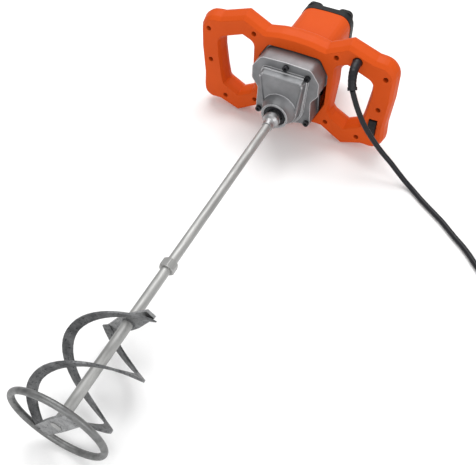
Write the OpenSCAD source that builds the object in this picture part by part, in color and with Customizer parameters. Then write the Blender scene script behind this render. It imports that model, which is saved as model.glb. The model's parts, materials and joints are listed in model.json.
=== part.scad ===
// Hand-held electric mortar mixer: two-handled machine, reduction gear,
// screwed rod and a two-flight mixing paddle with a base ring.
// Every module is drawn in the machine's own frame, with the spindle on Z,
// z = 0 at the front face of the handle frame and +z towards the paddle.
// place() then lays the machine down as it rests, on its frame and its ring.

/* [Handle frame] */
// Depth of the front half of the handle frame, from its face to the joint
joint_depth = 20; // [18:0.5:22]
// Whole depth of the handle frame
frame_depth = 38; // [36:0.5:42]
// Wall thickness of the moulded shells
wall = 3; // [2.5:0.5:3.5]
// Height of the lower frame corners below the spindle axis
foot_drop = 79; // [77:0.5:82]

/* [Motor housing] */
// Half of the housing's width
motor_half_w = 48; // [47:0.5:50]
// Height of the housing's top above the spindle axis
motor_top = 74; // [72:0.5:76]
// Depth of the housing's bottom below the spindle axis
motor_bottom = 38; // [37:0.5:42]
// Distance from the front face to the joint with the end cap
cap_joint = 155.5; // [152:0.5:160]
// Distance from the front face to the end cap's rear face
cap_end = 171; // [169:0.5:176]
// Height of the two pads on the end cap
cap_pad_h = 7.5; // [5:0.5:9]

/* [Reduction gear] */
// Gear module of the output pair
m_out = 1.5; // [1.5]
// Gear module of the motor pair
m_in = 1.25; // [1.25]
// Teeth on the output gear
z_out = 42; // [42]
// Teeth on the layshaft pinion
z_lay_pinion = 14; // [14]
// Teeth on the layshaft gear
z_lay = 45; // [45]
// Teeth on the motor pinion
z_motor = 9; // [9]
// How far the layshaft stands to the left of the spindle
lay_left = 14; // [12:0.5:15]
// Distance from the front face to the gear case rim
case_rim = 32; // [31:0.5:34]
// Distance from the front face to the end of the gear case nose
nose_end = 70.5; // [70:0.5:72]

/* [Rod and paddle] */
// Distance from the front face to the middle of the base ring
ring_z = 687; // [600:1:720]
// Diameter of the rod
rod_d = 15; // [14:0.5:16]
// Outer diameter of the base ring
ring_d = 140; // [138:1:146]
// Diameter of the ring's round bar
ring_bar = 9; // [8:0.5:10]
// Outer radius of the two helical blades
blade_r = 59.5; // [57:0.5:61]
// Width of the blade strip
blade_w = 13.5; // [12:0.5:15]
// Thickness of the blade strip
blade_t = 3.5; // [3:0.5:4]
// Length along the rod in which a blade goes once round
blade_pitch = 149; // [140:1:170]
// How much nearer to the motor the blade's inner edge stands than its outer edge
blade_tilt = 3; // [0:0.5:5]

/* [Cord] */
// Diameter of the cord
cord_d = 9; // [9]
// Radius of the coil's middle turns
coil_r = 50; // [50]

/* [Hidden] */
$fn = 64;

orange = "#f0641e";
black = "#26282a";
alloy = "#a9acae";
steel = "#b9bcbe";
zinc = "#a3a7a8";
copper = "#b8692e";

// Resting position: the machine leans until the ring and the frame's feet touch
ring_r = (ring_d - ring_bar) / 2;
foot_run = ring_z + joint_depth;
foot_rise = foot_drop - ring_r;
lean = atan2(foot_rise, foot_run) - asin(ring_bar / 2 / norm([foot_run, foot_rise]));
lift = foot_drop * cos(lean) - joint_depth * sin(lean);
front_end = (ring_z + ring_bar / 2) * cos(lean) + ring_r * sin(lean);
pad_low = -31;
back_end = (cap_end + cap_pad_h) * cos(lean) - pad_low * sin(lean);
mid_y = (front_end - back_end) / 2;

module place() translate([0, mid_y, lift]) rotate([90 + lean, 0, 0]) children();

// Plan of the handle frame, right half, from the bottom to the top: [x, y, corner radius]
frame_half = [
    [60, -53, 0], [102, -foot_drop, 0], [140, -65, 0], [179, -66.5, 23],
    [176, -14, 0], [179.5, 42, 0], [178, 109, 30], [139, 112, 0],
    [92.7, 128.3, 0], [54, 108.5, 0], [28, 113.5, 0]
];
frame_bottom = [0, -53, 0];
frame_top = [0, 115, 0];
// Plan of the right grip opening at the joint of the two shells
grip_hole = [
    [103.4, -36.4, 0], [129, -22.5, 7], [133, 2, 0], [137.4, 42, 0], [137.4, 67.5, 12],
    [95, 84.5, 0], [78.5, 77.5, 8], [79, 40, 0], [74.8, -16, 0], [80.8, -24, 0]
];
// How far the frame's edge stands inside its plan: [z, at the sides, more at the top]
front_edge = [[-joint_depth, 0, 0], [-7, 2.5, 1.5], [0, 7, 2.5]];
rear_edge = [
    [-frame_depth, 14, 0], [3 - frame_depth, 8.5, 0], [7 - frame_depth, 4, 0],
    [12 - frame_depth, 1, 0], [-joint_depth, 0, 0]
];
// Each shell's hollow runs a little past the joint
front_hollow = [[-joint_depth - 1, -0.2, -0.1], [-7, 2.5, 1.5], [-wall, 5.4, 2.2]];
rear_hollow = [rear_edge[1], rear_edge[2], rear_edge[3], [1 - joint_depth, -0.2, 0]];
// How much wider a grip opening is than its plan, past the joint and past the face: [z, growth]
front_hole = [[-joint_depth - 2, -0.4], [-7, 3], [1, 6.4]];
rear_hole = [
    [-frame_depth - 1, 10.2], [3 - frame_depth, 5.5], [7 - frame_depth, 2.5],
    [12 - frame_depth, 0.5], [2 - joint_depth, -0.2]
];
// Plan of the gear case, right half, and of the hole it stands in
case_half = [[36, -31, 6], [52, -33, 6], [49, 20, 10], [61, 36, 10], [60.5, 61, 10], [45, 83, 12]];
case_bottom = [0, -39, 0];
case_top = [0, 85, 0];
case_hole_half = [[46, -44, 5], [63.5, -3, 8], [63.5, 58, 8], [47, 86, 10]];

shell_screw_at = [[160.3, 83.2], [74.1, 97.7], [157.8, 20.3], [129.2, -50.9], [69.2, -39.6]];
case_screw_at = [[1, 75.6], [40.3, 67.4], [45.5, -25.6], [-45.5, -25.6]];
cap_screw_at = [[37, 63], [-37, 63], [37, -27], [-37, -27]];

// Gear centres: the layshaft meshes with the output gear and with the motor pinion
lay_reach = m_out * (z_out + z_lay_pinion) / 2;
motor_reach = m_in * (z_lay + z_motor) / 2;
lay_y = sqrt(lay_reach * lay_reach - lay_left * lay_left);
motor_y = lay_y - sqrt(motor_reach * motor_reach - lay_left * lay_left);
lay_way = atan2(lay_y, -lay_left);
motor_way = atan2(motor_y - lay_y, lay_left);

plate_front = -5;
plate_back = -12;
rear_posts = -150.4;
cap_posts = -154;
gear_in_z = 1;
gear_in_w = 10;
gear_out_z = 14;
gear_out_w = 13;
spindle_rear = 13.2;
trigger_at = [153.5, -37];
pivot_depth = 8;
button_at = [156, 44];
exit_at = [110, 101];
blade_phase = 46;
blade_slack = 12;
slack_run = 70;

// ---- helpers ----
function unit(v) = v / norm(v);
function at(p, i) = p[(i + len(p)) % len(p)];
function xy(p) = [p[0], p[1]];
function side_normal(p, i) = let (d = unit(xy(at(p, i + 1)) - xy(at(p, i)))) [d[1], -d[0]];
function flip(p) = [for (i = [len(p) - 1 : -1 : 0]) [-p[i][0], p[i][1], p[i][2]]];
function whole(bottom, half, top) = concat([bottom], half, [top], flip(half));
function mirrored(p) = [for (i = [len(p) - 1 : -1 : 0]) [-p[i][0], p[i][1]]];

// A corner rounded by an arc that touches both of its sides
function corner(a, p, b, r) =
    r == 0 ? [xy(p)] :
    let (
        u = unit(xy(a) - xy(p)), v = unit(xy(b) - xy(p)),
        half = acos(u * v) / 2, middle = xy(p) + unit(u + v) * r / sin(half),
        from = xy(p) + u * r / tan(half) - middle, to = xy(p) + v * r / tan(half) - middle,
        a0 = atan2(from[1], from[0]), turn = (atan2(to[1], to[0]) - a0 + 540) % 360 - 180,
        steps = max(2, ceil(abs(turn) / 15))
    )
    [for (k = [0 : steps]) middle + r * [cos(a0 + turn * k / steps), sin(a0 + turn * k / steps)]];
function rounded(p) = [for (i = [0 : len(p) - 1]) each corner(at(p, i - 1), p[i], at(p, i + 1), p[i][2])];
function box_plan(half_w, low, high, r) =
    rounded([[-half_w, low, r], [half_w, low, r], [half_w, high, r], [-half_w, high, r]]);

// The outline moved out by out(n), where n is the way each side faces
function moved(p, out) = [
    for (i = [0 : len(p) - 1])
        let (
            n = side_normal(p, i - 1), m = side_normal(p, i),
            a = p[i] * n + out(n), b = p[i] * m + out(m),
            d = n[0] * m[1] - n[1] * m[0]
        )
        abs(d) < 0.001 ? p[i] + n * out(n) : [a * m[1] - b * n[1], b * n[0] - a * m[0]] / d
];
function grown(p, by) = moved(p, function (n) by);

// A solid through outlines with equally many points, each at its own height.
// Its ends are fans of triangles about the middle of their points.
function middle(p) = [for (k = [0 : 1]) [for (q = p) q[k]] * [for (q = p) 1] / len(p)];
module loft(outlines, heights) {
    n = len(outlines[0]);
    last = len(outlines) - 1;
    rim = [for (k = [0 : last]) for (q = outlines[k]) [q[0], q[1], heights[k]]];
    hubs = [for (k = [0, last]) [each middle(outlines[k]), heights[k]]];
    sides = [
        for (k = [0 : last - 1]) for (i = [0 : n - 1])
            let (j = (i + 1) % n) [k * n + i, (k + 1) * n + i, (k + 1) * n + j, k * n + j]
    ];
    hub = len(rim);
    base = [for (i = [0 : n - 1]) [i, (i + 1) % n, hub]];
    lid = [for (i = [0 : n - 1]) [last * n + (i + 1) % n, last * n + i, hub + 1]];
    polyhedron(concat(rim, hubs), concat(base, lid, sides));
}

// A swept tube through points, with a radius at each point
module tube(points, radii, sides) {
    last = len(points) - 1;
    ways = [for (i = [0 : last]) unit(points[min(i + 1, last)] - points[max(i - 1, 0)])];
    rings = [
        for (i = [0 : last])
            let (across = unit(cross(ways[i], [0, 0, 1])), up = cross(across, ways[i]))
            for (k = [0 : sides - 1])
                points[i] + radii[i] * (cos(360 * k / sides) * across + sin(360 * k / sides) * up)
    ];
    skin = [
        for (i = [0 : last - 1]) for (k = [0 : sides - 1])
            let (j = (k + 1) % sides)
            [i * sides + k, i * sides + j, (i + 1) * sides + j, (i + 1) * sides + k]
    ];
    start = [for (k = [sides - 1 : -1 : 0]) k];
    end = [for (k = [0 : sides - 1]) last * sides + k];
    polyhedron(rings, concat([start, end], skin));
}

module bar(d, from, to) translate([0, 0, from]) cylinder(d = d, h = to - from);

module pipe(outer_d, inner_d, from, to) {
    difference() {
        bar(outer_d, from, to);
        bar(inner_d, from - 1, to + 1);
    }
}

module slab(plan, from, to) translate([0, 0, from]) linear_extrude(to - from) polygon(plan);

module at_points(points) for (p = points) translate([p[0], p[1], 0]) children();

// One involute gear outline, with tooth 0 on the +x axis
pressure = 25;
addendum = 0.8;
dedendum = 1.12;
backlash = 0.16;
function inv(a) = tan(a) * 180 / PI - a;
function half_tooth(r, pitch_r, base_r, teeth) =
    90 / teeth - backlash / 2 / pitch_r * 180 / PI + inv(pressure) - inv(acos(min(1, base_r / r)));
function gear_outline(m, teeth) =
    let (
        pitch_r = m * teeth / 2, base_r = pitch_r * cos(pressure),
        root = pitch_r - dedendum * m, tip = pitch_r + addendum * m,
        start = max(base_r, root + 0.01), steps = 3,
        radii = concat([root], [for (k = [0 : steps]) start + (tip - start) * k / steps])
    )
    [
        for (t = [0 : teeth - 1]) for (side = [-1, 1]) for (k = [0 : steps + 1])
            let (
                r = side < 0 ? radii[k] : radii[steps + 1 - k],
                a = 360 * t / teeth + side * half_tooth(max(r, base_r), pitch_r, base_r, teeth)
            )
            r * [cos(a), sin(a)]
    ];
module gear(m, teeth, turn, from, to) {
    translate([0, 0, from]) rotate(turn) linear_extrude(to - from) polygon(gear_outline(m, teeth));
}

// ---- handle frame and motor housing ----
frame_plan = rounded(whole(frame_bottom, frame_half, frame_top));
hole_plan = rounded(grip_hole);
case_plan = rounded(whole(case_bottom, case_half, case_top));
case_hole_plan = rounded(whole([0, -44, 0], case_hole_half, [0, 87, 0]));
housing_r = 22;
function housing_plan(inset) =
    box_plan(motor_half_w - inset, inset - motor_bottom, motor_top - inset, housing_r - inset);
function shoulder_plan(inset) = box_plan(66 - inset, inset - 40, 97 - inset, 24);

module frame_body(edge, inset) {
    loft(
        [for (e = edge) moved(frame_plan, function (n) -(e[1] + e[2] * n[1]) - inset)],
        [for (e = edge) e[0]]
    );
}
module grip_holes(edge, wall_by) {
    // Both grip openings; wall_by leaves a wall round them
    for (plan = [hole_plan, mirrored(hole_plan)])
        loft([for (e = edge) grown(plan, e[1] + wall_by)], [for (e = edge) e[0]]);
}
module at_shell_screws()
    at_points([for (p = shell_screw_at) for (s = [-1, 1]) [s * p[0], p[1]]]) children();

module front_shell() place() color(orange) difference() {
    frame_body(front_edge, 0);
    difference() {
        frame_body(front_hollow, wall);
        grip_holes(front_hole, wall);
        at_shell_screws() bar(13, -joint_depth - 2, 0);
        at_points([exit_at - [9.5, 0], exit_at + [9.5, 0]]) bar(7, -6, 0);
        // Lugs that hold the trigger's pin
        for (s = [-1, 1]) translate([trigger_at[0] + s * 11 - 1.5, trigger_at[1] - 5, -13])
            cube([3, 10, 12]);
    }
    at_trigger() bar(3, -13, 13);
    grip_holes(front_hole, 0);
    slab(case_hole_plan, -wall - 1, 1);
    at_shell_screws() {
        bar(9, -12, 1);
        bar(4.4, -joint_depth - 1, 1);
    }
    translate([trigger_at[0] - 7.5, trigger_at[1] - 2, -12]) cube([15, 37, 14]);
    at_points([exit_at]) bar(17, -wall - 1, 1);
    at_points([exit_at - [9.5, 0], exit_at + [9.5, 0]]) bar(3, -7, -2);
}

module rear_shell() place() color(orange) difference() {
    union() {
        difference() {
            union() {
                frame_body(rear_edge, 0);
                loft([housing_plan(0), shoulder_plan(0)], [-62, 1 - frame_depth]);
                intersection() {
                    slab(housing_plan(0), -cap_joint - 5, -61);
                    cap_joint_cut(0.2);
                }
            }
            difference() {
                frame_body(rear_hollow, wall);
                grip_holes(rear_hole, wall);
                at_shell_screws() bar(11, -frame_depth, 2 - joint_depth);
            }
            loft([housing_plan(wall), shoulder_plan(wall)], [-63, -frame_depth + wall + 0.5]);
            slab(housing_plan(wall), -cap_joint - 6, -62);
        }
        intersection() {
            slab(housing_plan(0.2), rear_posts, -40);
            union() {
                // Posts that the gear case's screws go into
                at_points(case_screw_at) bar(11, -60, -39);
                // Ribs that hold the stator
                at_motor() difference() {
                    for (a = [45, 135]) rotate(a) translate([-60, -4, -114]) cube([120, 8, 64]);
                    bar(84.2, -130, -40);
                }
                // Arms that hold the rotor's rear bearing seat
                at_motor() for (a = [0, 90]) rotate(a) translate([-60, -3, -152]) cube([120, 6, 6]);
                // Posts for the end cap's screws
                at_points(cap_screw_at) bar(10, -160, -128);
            }
        }
        at_motor() bar(30, -160, -146);
        at_points(case_screw_at) bar(11, -41, plate_back);
    }
    grip_holes(rear_hole, 0);
    at_shell_screws() bar(4.1, 3 - frame_depth, 0);
    at_points(case_screw_at) bar(5.2, -44, plate_back + 1);
    at_points(cap_screw_at) bar(4.1, -cap_joint, -134);
    at_motor() {
        bar(22.1, -161, -153);
        bar(14, -154, -140);
    }
    // Air outlets on both sides of the shoulder
    for (k = [0 : 5]) translate([-80, -14 + 9 * k, -60]) cube([160, 4, 12]);
    // Seat of the lock button
    at_button() bar(11.2, -1, wall + 1);
}

// The joint with the end cap bows a little towards the rear
module cap_joint_cut(gap) {
    bow_r = 250;
    translate([0, 0, bow_r + gap - cap_joint]) rotate([90, 0, 0]) cylinder(r = bow_r, h = 400, center = true);
}

module end_cap() place() color(black) difference() {
    union() {
        difference() {
            loft([housing_plan(3), housing_plan(0.2), housing_plan(-1), housing_plan(-0.6)],
                [-cap_end, 1.5 - cap_end, 5 - cap_end, -130]);
            cap_joint_cut(0);
            slab(housing_plan(wall), wall - cap_end, -120);
        }
        for (s = [-1, 1]) translate([s * 28.5, 0, 0]) loft(
            [box_plan(11.5, pad_low, 71.5, 8), box_plan(14.5, -34, 74, 10), box_plan(15.5, -35, 74.5, 11)],
            [-cap_end - cap_pad_h, 2.5 - cap_end - cap_pad_h, 4 - cap_end]);
        at_points(cap_screw_at) bar(10, 1 - cap_end, cap_posts);
    }
    at_points(cap_screw_at) {
        bar(4.4, -cap_end - cap_pad_h - 1, -140);
        bar(8, -cap_end - cap_pad_h - 1, 2 - cap_end);
    }
    // Air inlets
    for (k = [0 : 9]) translate([-10, -22 + 9 * k, -cap_end - 1]) cube([20, 4, 8]);
}

module raised_plan(inset) {
    hull() {
        for (s = [-1, 1]) translate([s * (42 - 9), 68 - 9]) circle(9 - inset / 2, $fn = 32);
        circle(38 - inset, $fn = 48);
    }
}
module gear_case() place() color(alloy) difference() {
    union() {
        slab(case_plan, plate_front, case_rim);
        translate([0, 0, case_rim - 0.5]) linear_extrude(5.5) raised_plan(0);
        hull() {
            translate([0, 0, case_rim + 4.5]) linear_extrude(0.5) raised_plan(3);
            translate([0, 0, 48.5]) linear_extrude(0.5) raised_plan(6.5);
        }
        rotate_extrude() polygon([
            [0, 40], [31, 40], [31, 49], [30, 51], [27, 58], [25.5, 62], [24.5, 66], [24.5, nose_end - 1],
            [23.5, nose_end], [0, nose_end]
        ]);
    }
    // Gear chamber, with posts left for the screws and seats for the bearings
    difference() {
        slab(grown(case_plan, -3.5), plate_front - 1, case_rim - 3.5);
        at_points(case_screw_at) bar(12.5, plate_front - 2, case_rim);
    }
    difference() {
        translate([0, 0, case_rim - 4]) linear_extrude(16) raised_plan(12);
        at_points([[-lay_left, lay_y]]) bar(28, 36, 60);
        bar(47, 30.5, 60);
        at_points(case_screw_at) bar(12.5, plate_front - 2, 60);
    }
    at_points([[-lay_left, lay_y]]) bar(22.1, 35, 44.5);
    bar(40.1, 28, 43);
    bar(30, 42, 51);
    bar(35.1, 50, 62);
    bar(40.1, 61.9, 69);
    bar(42, 68.5, nose_end + 1);
    at_points(case_screw_at) bar(5.2, plate_front - 1, case_rim + 20);
    at_points(case_screw_at) bar(11, case_rim, case_rim + 20);
}

module gear_plate() place() color(alloy) difference() {
    slab(grown(case_plan, 1), plate_back, plate_front);
    at_points([[-lay_left, lay_y]]) bar(22.1, plate_back + 1.5, 1);
    at_motor() {
        bar(28.1, plate_back + 1, 1);
        bar(16, plate_back - 1, 1);
    }
    at_points(case_screw_at) bar(5.2, plate_back - 1, 1);
}

module cross_screw(head_d, shank_d, head_z, head_h, tip_z) {
    // A screw along -z with a cross recess in its head
    difference() {
        union() {
            bar(head_d, head_z - head_h, head_z);
            bar(shank_d, tip_z, head_z - head_h + 0.1);
        }
        for (a = [0, 90]) rotate(a) translate([-head_d / 3, -0.5, head_z - 1.4]) cube([head_d / 1.5, 1, 3]);
    }
}
module shell_screws() place() color("#3a3c3e") at_shell_screws() cross_screw(7.8, 4, -9.2, 2.8, -34);
module gear_case_screws() place() color("#1e2022") at_points(case_screw_at) difference() {
    union() {
        bar(10.4, case_rim, case_rim + 5);
        bar(5, -42, case_rim + 0.1);
    }
    translate([0, 0, case_rim + 2]) cylinder(d = 5, h = 4, $fn = 6);
}
module cap_screws() place() color("#3a3c3e") at_points(cap_screw_at)
    mirror([0, 0, 1]) cross_screw(7.4, 4, cap_end + 1, 3, 136);

// ---- motor ----
module at_motor() translate([0, motor_y, 0]) children();
module stator_core() place() color("#6d7073") at_motor() difference() {
    bar(84, -112, -56);
    bar(50, -113, -55);
    intersection() {
        for (s = [-1, 1]) translate([s * 29, 0, -84]) cube([20, 56, 60], center = true);
        bar(72, -120, -50);
    }
}
module field_coils() place() color(copper) at_motor() for (s = [-1, 1]) intersection() {
    difference() {
        translate([s * 29 - 9.5, -27, -118]) cube([19, 54, 68]);
        translate([s * 29 - 12, -15, -111.5]) cube([24, 30, 55]);
    }
    pipe(71.4, 51, -130, -40);
}
module brush_holders() place() color("#c9a24b") at_motor() for (s = [-1, 1])
    translate([s * 27, 0, -136]) difference() {
        cube([20, 11, 14], center = true);
        cube([22, 6.4, 10.4], center = true);
    }
module carbon_brushes() place() color("#2c2c2e") at_motor() for (s = [-1, 1])
    translate([s * 22.2, 0, -136]) cube([12, 6.2, 10.2], center = true);
module brush_springs() place() color("#8f9396") at_motor() for (s = [-1, 1])
    translate([s * 32.4, 0, -136]) rotate([0, 90, 0]) translate([0, 0, -4]) pipe(5, 3.4, 0, 8);
module air_baffle() place() color(black) difference() {
    slab(housing_plan(wall + 0.1), -47, -44);
    at_motor() bar(64, -50, -40);
    at_points(case_screw_at) bar(11.4, -50, -40);
}
module control_module() place() color("#2b3a33") translate([-24, 54, -106]) cube([48, 14, 44]);
module rotor_shaft() place() color(steel) at_motor() {
    bar(12, -150, -1.9);
    bar(8, -162, -149.9);
    gear(m_in, z_motor, motor_way + 180 + 180 / z_motor, -2, 12);
}
module rotor_core() place() color("#5d6063") at_motor() pipe(48.4, 12, -111, -57);
module rotor_windings() place() color(copper) at_motor() {
    pipe(42, 12, -118, -111);
    pipe(42, 12, -57, -51);
}
module commutator() place() color("#b87333") at_motor() pipe(32, 12, -145, -126);
module fan() place() color(black) at_motor() {
    pipe(20, 12, -42, -17);
    difference() {
        bar(78, -42.9, -40);
        bar(19.9, -44, -39);
    }
    for (a = [0 : 30 : 330]) rotate(a) translate([9.9, -1, -40.1]) cube([28, 2, 18]);
}

// ---- bearings ----
module bearing(outer, inner, from, to) {
    // Two rings with the balls between them
    race = (outer - inner) / 2;
    ball = race * 0.36;
    ring_at = (outer + inner) / 4;
    count = floor(2 * PI * ring_at / (ball * 1.6));
    pipe(outer, outer - race * 0.6, from, to);
    pipe(inner + race * 0.6, inner, from, to);
    translate([0, 0, (from + to) / 2]) for (k = [0 : count - 1])
        rotate(360 * k / count) translate([ring_at, 0, 0]) sphere(d = ball, $fn = 24);
}
module spindle_front_bearing() place() color(steel) bearing(35, 17.1, 51, 61);
module spindle_rear_bearing() place() color(steel) bearing(40, 17.1, 31, 42);
module layshaft_front_bearing()
    place() color(steel) at_points([[-lay_left, lay_y]]) bearing(22, 8.1, 37.5, 44.5);
module layshaft_rear_bearing()
    place() color(steel) at_points([[-lay_left, lay_y]]) bearing(22, 8.1, -10.4, -5);
module rotor_front_bearing() place() color(steel) at_motor() bearing(28, 12.1, -11, -5);
module rotor_rear_bearing() place() color(steel) at_motor() bearing(22, 8.1, -160, -153);
module spindle_seal() place() color("#151617") rotate_extrude()
    polygon([[11.6, 62.2], [20, 62.2], [20, 68], [13.5, 68], [11.2, 65.5], [11.2, 64]]);

// ---- output ----
module spindle() place() color(steel) difference() {
    union() {
        bar(17, spindle_rear, 61.4);
        bar(21, 42.3, 50.7);
        bar(22, 61.3, 76);
    }
    translate([-2, 6.3, gear_out_z]) cube([4, 4, gear_out_w]);
    bar(12.2, 50, 77);
}
module output_gear() place() color("#8b8f93") difference() {
    union() {
        gear(m_out, z_out, lay_way, gear_out_z, gear_out_z + gear_out_w);
        bar(30, spindle_rear + 0.2, gear_out_z + gear_out_w + 2);
    }
    bar(17.02, spindle_rear - 1, gear_out_z + gear_out_w + 3);
    translate([-2, 0, spindle_rear - 1]) cube([4, 10.6, 22]);
}
module output_gear_key() place() color(steel)
    translate([-1.98, 6.32, gear_out_z + 0.02]) cube([3.96, 4.2, gear_out_w - 0.04]);
module rod_adaptor() place() color("#c4c6c7") difference() {
    union() {
        bar(12, 52, 77);
        rotate_extrude() polygon([
            [0, 76], [13.5, 76], [14.5, 77], [14.5, 84], [13.5, 86], [11, 89.5], [9.5, 94], [9.2, 100], [0, 100]
        ]);
    }
    bar(rod_d, 90, 101);
    for (s = [-1, 1]) translate([s * 18 - 5, -10, 77]) cube([10, 20, 7]);
}
module upper_rod() place() color(zinc) bar(rod_d, 90, ring_z - 261);
module coupling_nut() place() color(zinc) translate([0, 0, ring_z - 268.5]) difference() {
    intersection() {
        rotate(20) cylinder(d = 25.4, h = 15, $fn = 6);
        rotate_extrude() polygon([[0, 0], [10.8, 0], [12.5, 1.8], [12.5, 13.2], [10.8, 15], [0, 15]]);
    }
    bar(rod_d, -1, 16);
}
module lower_rod() place() color(zinc) bar(rod_d, ring_z - 261, ring_z + 3);

module flat_bar(half_length, half_width, end_half_width, thick, turn, z) {
    plan = [
        [half_length, -end_half_width], [half_length, end_half_width], [9, half_width], [-9, half_width],
        [-half_length, end_half_width], [-half_length, -end_half_width], [-9, -half_width], [9, -half_width]
    ];
    translate([0, 0, z]) rotate(turn) difference() {
        linear_extrude(thick) polygon(plan);
        bar(rod_d, -1, thick + 1);
    }
}
bar_t = 4;
module top_bar() place() color(zinc) flat_bar(blade_r, 13, 7, bar_t, 50, ring_z - 161);
module base_bar()
    place() color(zinc) flat_bar(ring_r - ring_bar / 2, 12, 10.5, bar_t, 54, ring_z - bar_t / 2);
// The strip's last stretch, towards the top bar, is wound a little slower
function blade_angle(z) =
    blade_phase + 360 * (z - ring_z) / blade_pitch
    + blade_slack * pow(max(0, (ring_z - 88 - z) / slack_run), 2);
module blade(turn) {
    // A strip wound round the rod; each step is one slice of the helix
    steps = 42;
    inner = blade_r - blade_w;
    low = ring_z + 2;
    high = ring_z - 161 + bar_t;
    corners = [[inner, -blade_tilt], [blade_r, 0], [blade_r, blade_t], [inner, blade_t - blade_tilt]];
    points = [
        for (k = [0 : steps])
            let (z = high + (low - high) * k / steps, a = turn + blade_angle(z))
            for (q = corners)
                [q[0] * cos(a), q[0] * sin(a), max(min(z + q[1] - blade_t / 2, low + 1.5), high)]
    ];
    sides = [
        for (k = [0 : steps - 1]) for (i = [0 : 3])
            let (j = (i + 1) % 4, a = 4 * k + i, b = 4 * k + j)
            each [[a, b, b + 4], [a, b + 4, a + 4]]
    ];
    end = 4 * steps;
    caps = [[3, 2, 1], [3, 1, 0], [end, end + 1, end + 2], [end, end + 2, end + 3]];
    polyhedron(points, concat(caps, sides));
}
module blade_a() place() color(zinc) blade(0);
module blade_b() place() color(zinc) blade(180);
module base_ring() place() color(zinc) translate([0, 0, ring_z])
    rotate_extrude($fn = 96) translate([ring_r, 0]) circle(d = ring_bar, $fn = 32);

// ---- layshaft ----
module layshaft() place() color(steel) at_points([[-lay_left, lay_y]]) {
    bar(8, -10.4, 44.4);
    bar(12, -4.5, 12.1);
    gear(m_out, z_lay_pinion, lay_way + 180 + 180 / z_lay_pinion, 12, 29);
}
module layshaft_gear() place() color("#8b8f93") at_points([[-lay_left, lay_y]]) difference() {
    gear(m_in, z_lay, motor_way, gear_in_z, gear_in_z + gear_in_w);
    bar(12, 0, 20);
}

// ---- switch ----
module at_button() translate([button_at[0], button_at[1], -frame_depth]) children();
module switch_body() place() color(black)
    translate([146, -30, wall - frame_depth + 0.5]) cube([15, 42, 12]);
module at_trigger() translate([trigger_at[0], trigger_at[1], -pivot_depth]) rotate([0, 90, 0]) children();
module trigger() place() color("#2a2d30") at_trigger() difference() {
    slab(concat(
        [for (a = [180 : 15 : 360]) 3.5 * [cos(a), sin(a)]],
        [[3, 8], [0.5, 32], [-9, 32], [-13, 24], [-13.5, 12], [-12, 4]]
    ), -6.5, 6.5);
    bar(3.1, -20, 20);
}
module trigger_pin() place() color(steel) at_trigger() bar(3, -11, 11);
module trigger_spring() place() color("#8f9396") at_trigger() pipe(6.4, 4.4, 6.8, 9.4);
module lock_button() place() color(black) at_button() {
    bar(10.4, -4.5, wall + 0.5);
    bar(13, wall + 0.4, wall + 2.4);
}

// ---- cord ----
// Centre line of the cord in the frame of the surface it lies on, from the guard to the coil
cord_route = [
    [120, 214, 156], [125, 213, 145], [131, 212, 132], [139, 212, 116], [149, 212, 99], [161, 212, 83],
    [175, 212, 67], [190, 212, 52], [206, 212, 38], [222, 211, 23.5], [238, 208, 11.5], [254, 201, 5.5],
    [271, 188, 4.6], [287, 176, 4.6], [304, 164, 4.6], [319, 153, 4.6], [333, 141, 4.6], [347, 129, 4.6],
    [361, 118, 4.6], [374, 106, 4.6], [386, 93, 4.6], [399, 80, 4.6], [412, 67, 4.6], [422, 58, 4.6]
];
// From the coil's top turn to the plug
tail_route = [[513, 91, 21.5], [518, 99, 21], [523, 108, 20.5], [528, 117, 20]];
guard_route = [
    [110, 259, 179.7], [110, 250, 179.6], [110.6, 241, 178.4], [111.8, 233, 175.6],
    [113.6, 226, 171], [115.8, 220.5, 165.5], [118, 217, 160.6], [118.4, 216.4, 159.6], [120, 214, 156]
];
guard_radii = [8.2, 8.2, 8, 7.8, 7.5, 7.1, 6.8, 8, 7];
coil_at = [463, 101];
function around_coil(plan) = [for (p = plan) [coil_r + p[0], p[1]]];
coil_plan = around_coil([[-14, 0.8], [14, 0.8], [14, 8], [5.5, 24.8], [-5.5, 24.8], [-14, 8]]);
plug_way = 60;
module at_plug() translate([528, 117, 19]) rotate([0, 90, plug_way]) children();
module cord_guard() color(black) tube(guard_route, guard_radii, 12);
module cord_clamp() place() color(black) at_points([exit_at]) translate([0, 0, -12]) difference() {
    translate([-13, -6, 0]) cube([26, 12, 6]);
    bar(cord_d + 0.4, -1, 7);
    at_points([[-9.5, 0], [9.5, 0]]) bar(3.4, -1, 7);
}
module clamp_screws() place() color("#3a3c3e") at_points([exit_at - [9.5, 0], exit_at + [9.5, 0]]) {
    bar(5.4, -14, -12);
    bar(2.9, -12.1, -2.4);
}
module cord() color(black) {
    tube(cord_route, [for (p = cord_route) cord_d / 2], 10);
    tube(tail_route, [for (p = tail_route) cord_d / 2], 10);
}
module cord_coil() color(black) translate([coil_at[0], coil_at[1], 0]) rotate_extrude() polygon(coil_plan);
module cord_tie() color("#1b1c1d") translate([coil_at[0], coil_at[1], 0]) rotate([0, 0, 96]) difference() {
    rotate_extrude(angle = 9) polygon(around_coil([
        [-14.8, 0], [14.8, 0], [14.8, 8.2], [6, 25.6], [-6, 25.6], [-14.8, 8.2]
    ]));
    rotate([0, 0, -1]) rotate_extrude(angle = 11) polygon(coil_plan);
}
module plug() color(black) at_plug() {
    rotate_extrude() polygon([
        [0, 0], [5.6, 0], [6.2, 24], [10, 30], [16, 36], [18.8, 42], [18.8, 60], [16, 62], [0, 62]
    ]);
}
module plug_pins() color(steel) at_plug() for (s = [-1, 1]) translate([0, s * 9.5, 62]) {
    bar(4.8, 0, 19);
}

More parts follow.
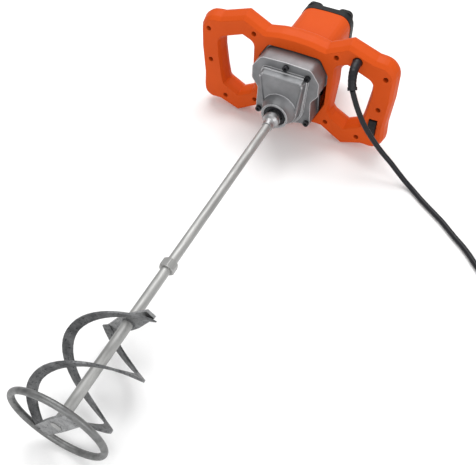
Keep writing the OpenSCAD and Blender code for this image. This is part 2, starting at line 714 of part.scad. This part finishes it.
front_shell();
rear_shell();
end_cap();
gear_case();
gear_plate();
shell_screws();
gear_case_screws();
cap_screws();
air_baffle();
control_module();
stator_core();
field_coils();
brush_holders();
carbon_brushes();
brush_springs();
spindle_front_bearing();
spindle_rear_bearing();
layshaft_front_bearing();
layshaft_rear_bearing();
rotor_front_bearing();
rotor_rear_bearing();
spindle_seal();
switch_body();
trigger_pin();
trigger_spring();
trigger();
lock_button();
spindle();
output_gear();
output_gear_key();
rod_adaptor();
upper_rod();
coupling_nut();
lower_rod();
top_bar();
base_bar();
blade_a();
blade_b();
base_ring();
layshaft();
layshaft_gear();
rotor_shaft();
rotor_core();
rotor_windings();
commutator();
fan();
cord_guard();
cord_clamp();
clamp_screws();
cord();
cord_coil();
cord_tie();
plug();
plug_pins();
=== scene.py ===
"""Looks for the mortar mixer: materials, cord, welds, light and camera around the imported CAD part."""

import json
import math

import bmesh
import bpy
from mathutils import Matrix, Vector


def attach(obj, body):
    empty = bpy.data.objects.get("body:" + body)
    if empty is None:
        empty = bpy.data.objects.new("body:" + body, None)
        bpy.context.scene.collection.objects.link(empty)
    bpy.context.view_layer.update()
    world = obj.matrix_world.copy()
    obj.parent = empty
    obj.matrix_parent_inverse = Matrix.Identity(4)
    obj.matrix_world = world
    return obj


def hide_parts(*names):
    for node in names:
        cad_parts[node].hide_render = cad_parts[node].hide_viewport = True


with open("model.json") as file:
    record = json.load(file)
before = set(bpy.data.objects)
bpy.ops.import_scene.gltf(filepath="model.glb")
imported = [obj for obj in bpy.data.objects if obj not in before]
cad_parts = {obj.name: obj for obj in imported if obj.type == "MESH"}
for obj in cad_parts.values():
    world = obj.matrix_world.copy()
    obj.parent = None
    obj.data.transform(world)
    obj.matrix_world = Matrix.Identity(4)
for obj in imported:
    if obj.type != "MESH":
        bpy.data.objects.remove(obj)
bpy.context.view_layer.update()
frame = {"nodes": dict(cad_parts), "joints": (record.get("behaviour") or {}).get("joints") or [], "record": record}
nodes = frame["nodes"]

# ---- the machine's own frame: millimetres, spindle on z, z = 0 at the front face of the handle frame ----
spindle = next(j for j in frame["joints"] if j["name"] == "output_spin")
ORIGIN = Vector(spindle["pos_m"])
OUT = Vector(spindle["axis"]).normalized()
UP = OUT.cross(Vector((1, 0, 0)))


def turned(x, y, z):
    """A direction in the machine's frame, in the row frame."""
    return Vector((x, 0, 0)) + UP * y + OUT * z


def at(x, y, z):
    """A point in the machine's frame, in millimetres, in the row frame."""
    return ORIGIN + turned(x, y, z) / 1000


def mm(x, y, z):
    """A point in the row frame given in millimetres."""
    return Vector((x, y, z)) / 1000


# ---- camera ----
def add_camera():
    """The photograph's view, set up in the machine's own frame."""
    right = turned(0.8954, 0.0041, -0.4452).normalized()
    back = right.cross(turned(-0.3448, 0.6391, -0.6875)).normalized()
    top = back.cross(right)
    data = bpy.data.cameras.new("camera")
    data.sensor_width = 36
    data.lens = 51.4
    data.clip_start = 0.05
    camera = bpy.data.objects.new("camera", data)
    bpy.context.scene.collection.objects.link(camera)
    turn = Matrix((right, top, back)).transposed().to_4x4()
    camera.matrix_world = Matrix.Translation(at(339, 763, 896.4)) @ turn
    bpy.context.scene.camera = camera


# ---- shaping helpers ----
def new_mesh(name, verts, faces, smooth=True):
    mesh = bpy.data.meshes.new(name)
    mesh.from_pydata([tuple(v) for v in verts], [], faces)
    mesh.update()
    obj = bpy.data.objects.new(name, mesh)
    bpy.context.scene.collection.objects.link(obj)
    mesh.polygons.foreach_set("use_smooth", [smooth] * len(mesh.polygons))
    return obj


def smooth_line(points, steps):
    """A Catmull-Rom curve through the points, with steps pieces between neighbours."""
    line = []
    for i in range(len(points) - 1):
        a = points[max(i - 1, 0)]
        b, c = points[i], points[i + 1]
        d = points[min(i + 2, len(points) - 1)]
        for k in range(steps):
            t = k / steps
            bend = (2 * a - 5 * b + 4 * c - d) * t**2 + (3 * b - a - 3 * c + d) * t**3
            line.append(0.5 * (2 * b + (c - a) * t + bend))
    line.append(points[-1])
    return line


def swept(name, line, radii, sides=28):
    """A closed tube round a line, with a radius at each point."""
    verts, faces = [], []
    across = None
    for i, p in enumerate(line):
        way = (line[min(i + 1, len(line) - 1)] - line[max(i - 1, 0)]).normalized()
        if across is None:
            across = way.orthogonal().normalized()
        across = (across - way * across.dot(way)).normalized()
        side = way.cross(across)
        for k in range(sides):
            a = 2 * math.pi * k / sides
            verts.append(p + radii[i] * (math.cos(a) * across + math.sin(a) * side))
    for i in range(len(line) - 1):
        for k in range(sides):
            j = (k + 1) % sides
            faces.append([i * sides + k, i * sides + j, (i + 1) * sides + j, (i + 1) * sides + k])
    last = (len(line) - 1) * sides
    faces.append(list(range(sides - 1, -1, -1)))
    faces.append(list(range(last, last + sides)))
    return new_mesh(name, verts, faces)


def soften(t):
    """Smooth step from 0 to 1."""
    t = min(max(t, 0), 1)
    return t * t * (3 - 2 * t)


# ---- materials ----
class Surface:
    """One procedural material on the Principled shader."""

    def __init__(self, name, **sockets):
        self.material = bpy.data.materials.new(name)
        self.material.use_nodes = True
        self.tree = self.material.node_tree
        self.shader = self.tree.nodes["Principled BSDF"]
        self.coords = self.tree.nodes.new("ShaderNodeTexCoord").outputs["Object"]
        for socket, value in sockets.items():
            self.shader.inputs[socket.replace("_", " ")].default_value = value

    def node(self, kind, **inputs):
        made = self.tree.nodes.new("ShaderNode" + kind)
        for name, value in inputs.items():
            socket = made.inputs[name.replace("_", " ")]
            if isinstance(value, bpy.types.NodeSocket):
                self.tree.links.new(value, socket)
            else:
                socket.default_value = value
        return made

    def noise(self, scale, detail=3, stretch=(1, 1, 1)):
        """A cloudy field from 0 to 1; scale is in waves per metre."""
        place = self.node("Mapping", Vector=self.coords, Scale=stretch)
        return self.node("TexNoise", Vector=place.outputs[0], Scale=scale, Detail=detail).outputs["Fac"]

    def spread(self, field, low, high, start=0.3, end=0.7):
        """The field stretched so that start..end becomes low..high."""
        made = self.node("MapRange", Value=field)
        for name, value in (("From Min", start), ("From Max", end), ("To Min", low), ("To Max", high)):
            made.inputs[name].default_value = value
        return made.outputs[0]

    def mix(self, field, first, second):
        """A colour between two, by a field from 0 to 1."""
        made = self.tree.nodes.new("ShaderNodeMix")
        made.data_type = "RGBA"
        self.tree.links.new(field, made.inputs["Factor"])
        for socket, value in (("A", first), ("B", second)):
            entry = next(s for s in made.inputs if s.name == socket and s.type == "RGBA")
            if isinstance(value, bpy.types.NodeSocket):
                self.tree.links.new(value, entry)
            else:
                entry.default_value = (*value, 1)
        return next(s for s in made.outputs if s.type == "RGBA")

    def colour(self, socket):
        self.tree.links.new(socket, self.shader.inputs["Base Color"])

    def rough(self, socket):
        self.tree.links.new(socket, self.shader.inputs["Roughness"])

    def relief(self, field, depth, strength=1.0, edge=0.0):
        """Bump of a depth in metres, on edges rounded by a radius in metres."""
        bump = self.node("Bump", Height=field, Distance=depth, Strength=strength)
        if edge:
            rounding = self.node("Bevel", Radius=edge)
            rounding.samples = 6
            self.tree.links.new(rounding.outputs[0], bump.inputs["Normal"])
        self.tree.links.new(bump.outputs[0], self.shader.inputs["Normal"])

    def wear_and_highlight_edges(self, radius):
        """1 on edges that are sharper than a radius in metres, 0 on flat faces: a mask for edges painted lighter,
        as painted highlight along rounded edges together with edge wear.
        """
        rounding = self.node("Bevel", Radius=radius)
        rounding.samples = 8
        turn = self.tree.nodes.new("ShaderNodeVectorMath")
        turn.operation = "DOT_PRODUCT"
        self.tree.links.new(rounding.outputs[0], turn.inputs[0])
        self.tree.links.new(self.node("NewGeometry").outputs["Normal"], turn.inputs[1])
        return self.spread(turn.outputs["Value"], 0, 1, 0.995, 0.93)


def orange_plastic():
    """Moulded housing plastic: even orange, satin gloss, fine spark-eroded grain."""
    s = Surface("orange_plastic", Specular_IOR_Level=0.10)
    cloud = s.noise(9, 4)
    grain = s.noise(1800, 2)
    s.colour(s.mix(s.spread(cloud, 0, 1), (0.53, 0.066, 0.006), (0.58, 0.075, 0.008)))
    s.rough(s.spread(s.noise(60, 5), 0.40, 0.52))
    s.relief(grain, 0.00006, 0.5, 0.0014)
    return s.material


def black_plastic(name="black_plastic", shade=0.007, low=0.42, high=0.58):
    """Glass-filled black plastic with a fine matte texture."""
    s = Surface(name, Specular_IOR_Level=0.22)
    cloud = s.noise(30, 4)
    dark = (shade, shade, shade * 1.08)
    light = (shade * 1.7, shade * 1.7, shade * 1.85)
    s.colour(s.mix(s.spread(cloud, 0, 1), dark, light))
    s.rough(s.spread(s.noise(220, 4), low, high))
    s.relief(s.noise(1300, 3), 0.00015, 0.6, 0.0012)
    return s.material


def cast_alloy():
    """Die-cast aluminium: satin grey with flow clouds, a fine sand grain, and edges painted lighter as painted
    highlight together with edge wear.
    """
    s = Surface("cast_alloy", Metallic=0.82, Specular_IOR_Level=0.5)
    flow = s.noise(22, 6)
    grain = s.noise(1500, 4)
    base = s.mix(s.spread(flow, 0, 1), (0.175, 0.177, 0.183), (0.255, 0.257, 0.265))
    # Edges painted lighter grey: painted highlight along the rounded edges, together with edge wear.
    s.colour(s.mix(s.wear_and_highlight_edges(0.0024), base, (0.55, 0.55, 0.56)))
    s.rough(s.spread(s.noise(140, 5), 0.46, 0.60))
    s.relief(grain, 0.00018, 0.55, 0.0016)
    return s.material


def metal(name, dark, light, low, high, grain=900, depth=0.00008, stretch=(1, 1, 1), edge=0.0005):
    """Bare or plated steel, with marks that may be drawn out along one axis."""
    s = Surface(name, Metallic=1.0)
    streak = s.noise(120, 5, stretch)
    s.colour(s.mix(s.spread(streak, 0, 1), dark, light))
    s.rough(s.spread(s.noise(400, 4, stretch), low, high))
    s.relief(s.noise(grain, 3, stretch), depth, 0.6, edge)
    return s.material


def rough_zinc(name="rough_zinc", dark=(0.085, 0.087, 0.09), light=(0.20, 0.203, 0.206)):
    """Hot-dipped strip: mottled grey with dull spangles and scattered darker spots."""
    s = Surface(name, Metallic=0.85)
    blot = s.noise(70, 6)
    cells = s.node("TexVoronoi", Vector=s.coords, Scale=260.0).outputs["Distance"]
    spots = s.spread(s.noise(420, 5), 0, 1, 0.56, 0.66)
    base = s.mix(s.spread(blot, 0, 1), dark, light)
    s.colour(s.mix(spots, base, tuple(0.5 * value for value in dark)))
    s.rough(s.spread(cells, 0.38, 0.62, 0, 0.8))
    s.relief(s.noise(650, 5), 0.00035, 0.8, 0.0006)
    return s.material


def rubber(name="black_rubber", shade=0.006, blue=1.35, low=0.34, high=0.48):
    """Cord and guard rubber: black, tinted blue in its colour as a painted cool sheen, with handling marks."""
    s = Surface(name, Specular_IOR_Level=0.28)
    cloud = s.noise(45, 4)
    # The blue tint in both colours is a painted sheen.
    dark = (shade, shade * 1.05, shade * blue)
    light = (shade * 1.6, shade * 1.6, shade * 2.2)
    s.colour(s.mix(s.spread(cloud, 0, 1), dark, light))
    s.rough(s.spread(s.noise(180, 4), low, high))
    s.relief(s.noise(900, 3), 0.0001, 0.5, 0.0008)
    return s.material


def windings():
    """Varnished copper wire wound round the core."""
    s = Surface("copper_wire", Metallic=0.9)
    wire = s.node("TexWave", Vector=s.coords, Scale=260.0, Distortion=0.4).outputs["Fac"]
    s.colour(s.mix(wire, (0.22, 0.07, 0.025), (0.62, 0.24, 0.09)))
    s.rough(s.spread(s.noise(300, 3), 0.25, 0.4))
    s.relief(wire, 0.0003, 0.8)
    return s.material


def laminations():
    """Stacked sheet steel: fine dark lines across the length."""
    s = Surface("core_steel", Metallic=0.9)
    wave = s.node("TexWave", Vector=s.coords, Scale=320.0)
    wave.bands_direction = "Y"
    s.colour(s.mix(wave.outputs["Fac"], (0.10, 0.10, 0.105), (0.28, 0.285, 0.29)))
    s.rough(s.spread(s.noise(200, 3), 0.4, 0.55))
    s.relief(wave.outputs["Fac"], 0.0001, 0.6)
    return s.material


def floor_surface():
    s = Surface("floor_surface", Roughness=0.6, Specular_IOR_Level=0.2)
    s.colour(s.mix(s.spread(s.noise(3, 2), 0, 1), (0.90, 0.90, 0.90), (0.93, 0.93, 0.93)))
    return s.material


LOOKS = {
    "orange_plastic": orange_plastic(),
    "black_plastic": black_plastic(),
    "cast_alloy": cast_alloy(),
    "gear_steel": metal("gear_steel", (0.30, 0.30, 0.31), (0.45, 0.45, 0.46), 0.25, 0.4),
    "bright_steel": metal("bright_steel", (0.30, 0.30, 0.305), (0.44, 0.44, 0.445), 0.36, 0.48),
    "black_screw": metal("black_screw", (0.028, 0.028, 0.03), (0.06, 0.06, 0.065), 0.3, 0.45),
    "core_steel": laminations(),
    "copper_wire": windings(),
    "brass_part": metal("brass_part", (0.50, 0.33, 0.10), (0.66, 0.46, 0.17), 0.22, 0.36),
    "carbon": black_plastic("carbon", 0.022, 0.6, 0.75),
    "zinc_steel": metal("zinc_steel", (0.33, 0.33, 0.325), (0.45, 0.45, 0.44), 0.50, 0.64, 500, 0.00012,
                        (1, 0.12, 1)),
    "rough_zinc": rough_zinc(),
    "black_rubber": rubber(),
    "seal_rubber": rubber("seal_rubber", 0.008, 1.1, 0.4, 0.55),
    "board_resin": black_plastic("board_resin", 0.03, 0.3, 0.45),
}
# Lighter copy of rough zinc for the bars, standing for the light on their faces: painted light. Darker copy of
# zinc steel for the ring: painted shade.
bar_zinc_painted_lit = rough_zinc("bar_zinc_painted_lit", (0.20, 0.203, 0.206), (0.36, 0.363, 0.367))
ring_zinc_painted_shade = metal("ring_zinc_painted_shade", (0.15, 0.152, 0.152), (0.24, 0.242, 0.24), 0.42, 0.58, 500, 0.00012)
OWN_LOOKS = {"top_bar": bar_zinc_painted_lit, "base_bar": bar_zinc_painted_lit, "base_ring": ring_zinc_painted_shade}
for part in frame["record"]["subparts"]:
    mesh = nodes[part["node"]].data
    mesh.materials.clear()
    mesh.materials.append(OWN_LOOKS.get(part["node"], LOOKS[part["material_slot"]]))


def finish_piece(obj, body, slot, *replaced):
    """Gives a piece made here the look of a slot and the body it rides, and hides the CAD nodes that it stands
    for.
    """
    obj.data.materials.append(LOOKS[slot])
    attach(obj, body)
    if replaced:
        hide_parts(*replaced)
    return obj


# ---- cord ----
CORD = 0.009
ROUTE = [
    (120, 214, 156), (125, 213, 145), (131, 212, 132), (139, 212, 116), (149, 212, 99), (161, 212, 83),
    (175, 212, 67), (190, 212, 52), (206, 212, 38), (222, 211, 23.5), (238, 208, 11.5), (254, 201, 5.5),
    (271, 188, 4.6), (287, 176, 4.6), (304, 164, 4.6), (319, 153, 4.6), (333, 141, 4.6), (347, 129, 4.6),
    (361, 118, 4.6), (374, 106, 4.6), (386, 93, 4.6), (399, 80, 4.6), (412, 67, 4.6),
]
TAIL = [(513, 91, 21.5), (518, 99, 21), (523, 108, 20.5), (528, 117, 20)]
COIL_CENTRE = Vector((463, 101, 0))
# Each turn of the coil lies at this radius and height, in millimetres
TURNS = [(59.2, 4.6), (50, 4.6), (40.8, 4.6), (45.5, 12.5), (54.5, 12.5), (50, 20.4)]


def coil_line():
    """The turns of the coil, each passing to the next over a sixth of a turn."""
    start, end, shift = 230, 330 - 360 + 360 * len(TURNS), 60
    line = []
    angle = start
    while angle <= end:
        turn, into = divmod(angle - start, 360)
        turn = int(turn)
        step = soften((into - 360 + shift) / shift)
        here = TURNS[turn]
        after = TURNS[min(turn + 1, len(TURNS) - 1)]
        radius = here[0] + (after[0] - here[0]) * step
        height = here[1] + (after[1] - here[1]) * step
        a = math.radians(angle)
        line.append(COIL_CENTRE + Vector((radius * math.cos(a), radius * math.sin(a), height)))
        angle += 10
    return line


def add_cord():
    points = [Vector(p) for p in ROUTE] + coil_line() + [Vector(p) for p in TAIL]
    line = [p / 1000 for p in smooth_line(points, 5)]
    data = bpy.data.curves.new("cord", "CURVE")
    data.dimensions = "3D"
    data.bevel_depth = CORD / 2
    data.bevel_resolution = 5
    data.use_fill_caps = True
    spline = data.splines.new("POLY")
    spline.points.add(len(line) - 1)
    for point, p in zip(spline.points, line):
        point.co = (*p, 1)
    spline.use_smooth = True
    obj = bpy.data.objects.new("mains_cord", data)
    bpy.context.scene.collection.objects.link(obj)
    finish_piece(obj, "body", "black_rubber", "cord", "cord_coil")
    length = sum((b - a).length for a, b in zip(line, line[1:]))
    return obj, line, length


def add_guard():
    """The bent rubber sleeve that protects the cord where it leaves the frame."""
    centre = [
        mm(110, 259, 179.7), mm(110, 250, 179.6), mm(110.6, 241, 178.4), mm(111.8, 233, 175.6),
        mm(113.6, 226, 171), mm(115.8, 220.5, 165.5), mm(118, 217, 160.6), mm(120, 214, 156),
    ]
    line = smooth_line(centre, 10)
    last = len(line) - 1
    radii = []
    for i in range(last + 1):
        t = i / last
        radius = 8.2 - 1.7 * t
        radius -= 0.25 * (0.5 - 0.5 * math.cos(2 * math.pi * 9 * t)) * (t < 0.8)
        if t > 0.86:
            radius = 7.9 - 0.5 * soften((t - 0.96) / 0.04)
        radii.append(radius / 1000)
    obj = swept("cord_guard_sleeve", line, radii)
    return finish_piece(obj, "body", "black_rubber", "cord_guard")


PLUG_START = mm(528, 117, 19)
PLUG_TURN = math.radians(60)
# Distance along the plug and radius of each finger rib, and the rib's own radius
RIBS = [(0.026, 0.0066), (0.0295, 0.0087), (0.033, 0.0108), (0.0365, 0.0115), (0.04, 0.0143)]
RIB_R = 0.0009


def add_plug_ribs():
    """Raised finger ribs round the plug's body."""
    way = Vector((math.cos(PLUG_TURN), math.sin(PLUG_TURN), 0))
    side = way.cross(Vector((0, 0, 1)))
    verts, faces = [], []
    sides, section = 48, 8
    for along, ring_radius in RIBS:
        middle = PLUG_START + way * along
        base = len(verts)
        for k in range(sides):
            a = 2 * math.pi * k / sides
            radial = math.cos(a) * side + math.sin(a) * Vector((0, 0, 1))
            for j in range(section):
                b = 2 * math.pi * j / section
                out = radial * (ring_radius + RIB_R * math.cos(b))
                verts.append(middle + out + way * RIB_R * math.sin(b))
        for k in range(sides):
            for j in range(section):
                q = (k + 1) % sides
                r = (j + 1) % section
                faces.append([base + k * section + j, base + q * section + j,
                              base + q * section + r, base + k * section + r])
    return finish_piece(new_mesh("plug_ribs", verts, faces), "body", "black_rubber")


# ---- gear case ----
def add_case_ridge():
    """The cast rim along the top and sides of the gear case's raised front, running out at the nose."""
    corner_x, corner_y, corner_r = 33, 59, 4.5
    face_z, ridge_r = 48.8, 2.1
    side_lean = -8
    arc = [math.radians(a) for a in range(90, side_lean - 1, -14)]
    right = [(corner_x + corner_r * math.cos(a), corner_y + corner_r * math.sin(a)) for a in arc]
    right += [(36, 48), (34.5, 37.5), (33, 26.5), (31.5, 16), (30, 6), (29.4, 1)]
    plan = [(-x, y) for x, y in reversed(right)] + [(-18, 63.5), (0, 63.5), (18, 63.5)] + right
    line = smooth_line([at(x, y, face_z) for x, y in plan], 6)
    return finish_piece(swept("case_ridge", line, [ridge_r / 1000] * len(line), 20), "body", "cast_alloy")


# ---- welds ----
def bead(name, points, radius):
    """A weld bead: overlapping drops along a line of points."""
    mesh = bpy.data.meshes.new(name)
    built = bmesh.new()
    for i, p in enumerate(points):
        size = radius * (1 + 0.16 * math.sin(7.3 * i) + 0.1 * math.sin(3.1 * i))
        drop = bmesh.ops.create_icosphere(built, subdivisions=2, radius=size)
        bmesh.ops.translate(built, verts=drop["verts"], vec=p)
    for face in built.faces:
        face.smooth = True
    built.to_mesh(mesh)
    built.free()
    obj = bpy.data.objects.new(name, mesh)
    bpy.context.scene.collection.objects.link(obj)
    return finish_piece(obj, "output", "rough_zinc")


def ring_of(radius, z, start, end, step):
    """Points on an arc round the rod, in degrees, in the machine's frame."""
    count = max(2, round(math.radians(end - start) * radius / step))
    arc = [math.radians(start + (end - start) * k / count) for k in range(count + 1)]
    return [at(radius * math.cos(a), radius * math.sin(a), z) for a in arc]


# The base ring's place along the spindle and its radius, the rod's radius, and where the top bar stands
RING_Z = 687
RING_R = 65.5
ROD_WELD_R = 7.9
TOP_BAR_BACK = 156.6


def add_welds():
    bead("rod_weld_base", ring_of(ROD_WELD_R, RING_Z - 2.4, 0, 360, 1.6), 0.0016)
    bead("rod_weld_top", ring_of(ROD_WELD_R, RING_Z - TOP_BAR_BACK, 0, 360, 1.6), 0.0014)
    for side in (0, 180):
        bead(f"ring_weld_{side}", ring_of(RING_R - 4.4, RING_Z - 1.6, 45 + side, 63 + side, 1.6), 0.0016)
        bead(f"blade_weld_{side}", ring_of(52, RING_Z - 2.2, 42 + side, 53 + side, 1.8), 0.0015)


# ---- studio ----
FLOOR_SIZE = 12
FLOOR_GAP = 0.0004
WORLD_LIGHT = 0.58
# Name, place and aim in metres, size, and power in watts
LIGHTS = [
    ("top_light", (-0.3, 0.9, 1.7), (0, 0.1, 0.05), (1.6, 1.2), 27),
    ("front_light", (0.1, -1.5, 1.1), (0, 0.2, 0.1), (1.4, 1.0), 11),
    ("side_light", (1.5, -0.5, 0.9), (0, 0.1, 0.1), (0.9, 1.2), 10),
]


def add_studio():
    bpy.ops.mesh.primitive_plane_add(size=FLOOR_SIZE, location=(0, 0, -FLOOR_GAP))
    floor = bpy.context.object
    floor.name = "floor"
    floor.data.materials.append(floor_surface())
    world = bpy.data.worlds.new("studio")
    world.use_nodes = True
    world.node_tree.nodes["Background"].inputs["Color"].default_value = (1, 1, 1, 1)
    world.node_tree.nodes["Background"].inputs["Strength"].default_value = WORLD_LIGHT
    bpy.context.scene.world = world
    bpy.context.scene.view_settings.view_transform = "Standard"

    def softbox(name, place, aim, size, power):
        data = bpy.data.lights.new(name, "AREA")
        data.shape = "RECTANGLE"
        data.size, data.size_y = size
        data.energy = power
        light = bpy.data.objects.new(name, data)
        bpy.context.scene.collection.objects.link(light)
        light.location = place
        light.rotation_euler = (Vector(aim) - Vector(place)).to_track_quat("-Z", "Y").to_euler()

    for light in LIGHTS:
        softbox(*light)


add_camera()
cord, cord_line, cord_length = add_cord()
add_guard()
ribs = add_plug_ribs()
add_case_ridge()
add_welds()
add_studio()
